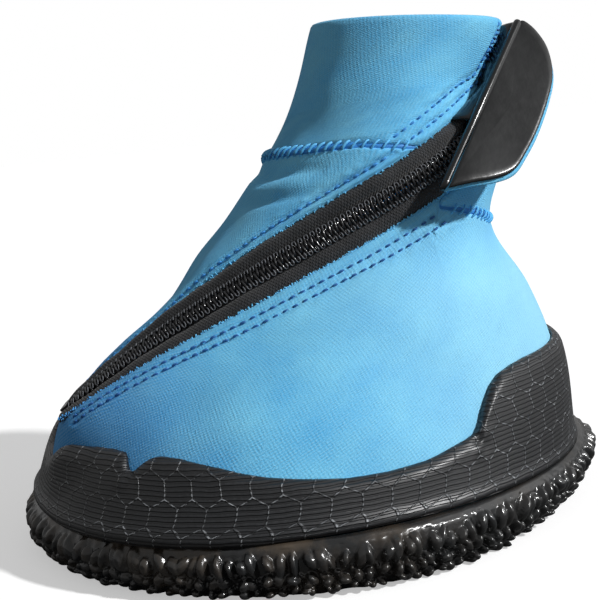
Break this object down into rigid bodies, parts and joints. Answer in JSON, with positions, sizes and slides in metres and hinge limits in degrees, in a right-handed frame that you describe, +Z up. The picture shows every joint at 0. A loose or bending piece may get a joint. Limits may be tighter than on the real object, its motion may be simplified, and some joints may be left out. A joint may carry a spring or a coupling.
{
  "type": "horse hoof boot",
  "caption": "Neoprene hoof boot with a lugged rubber outsole, a rubber rand, a spiral front-to-heel zip with a working slider, and a hinged closure tab.",
  "frame": {"origin": "on the ground, at the centre of the outsole's middle tread block", "axes": "+Z up from the ground, -Y towards the toe, +Y towards the heel, +X towards the side that the zip is on"},
  "size_m": [0.1564, 0.164, 0.1328],
  "materials": {
    "outsole_rubber": "satin moulded rubber",
    "rand_rubber": "ribbed moulded rubber",
    "insole_board": "pressed fibre board",
    "footbed_foam": "knit-faced foam",
    "blue_neoprene": "knit-faced neoprene",
    "zip_tape": "woven polyester",
    "zip_chain": "glossy nylon coil",
    "zip_slider_lacquer": "black lacquer",
    "tab_facing": "smooth coated"
  },
  "bodies": {
    "boot": {"outsole": "outsole_rubber", "rubber_rand": "rand_rubber", "insole_board": "insole_board", "footbed": "footbed_foam", "collar": "blue_neoprene", "far_side_panel": "blue_neoprene", "near_side_panel": "blue_neoprene", "zip_tape_upper": "zip_tape", "zip_tape_lower": "zip_tape", "zip_chain_upper": "zip_chain", "zip_chain_lower": "zip_chain", "zip_top_stop_upper": "zip_slider_lacquer", "zip_top_stop_lower": "zip_slider_lacquer", "zip_bottom_stop": "zip_slider_lacquer", "slit_lining": "zip_tape", "tab_root": "tab_facing"},
    "slider": {"zip_slider": "zip_slider_lacquer"},
    "pull": {"zip_pull": "zip_slider_lacquer"},
    "tab": {"closure_tab": "blue_neoprene", "tab_facing": "tab_facing"}
  },
  "joints": [
    {"name": "slider_travel", "type": "hinge", "parent": "boot", "child": "slider", "pos_m": [-0.01755, 0.01833, 0.09069], "axis": [-0.0855, 0.4126, -0.9069], "range_deg": [0, 33]},
    {"name": "pull_swing", "type": "hinge", "parent": "slider", "child": "pull", "pos_m": [0.02706, 0.0485, 0.10063], "axis": [0.0558, 0.5017, -0.8632], "range_deg": [0, 15]},
    {"name": "tab_lift", "type": "hinge", "parent": "boot", "child": "tab", "pos_m": [0.0319, 0.04355, 0.10398], "axis": [0.454, -0.6019, -0.657], "range_deg": [0, 120]}
  ]
}
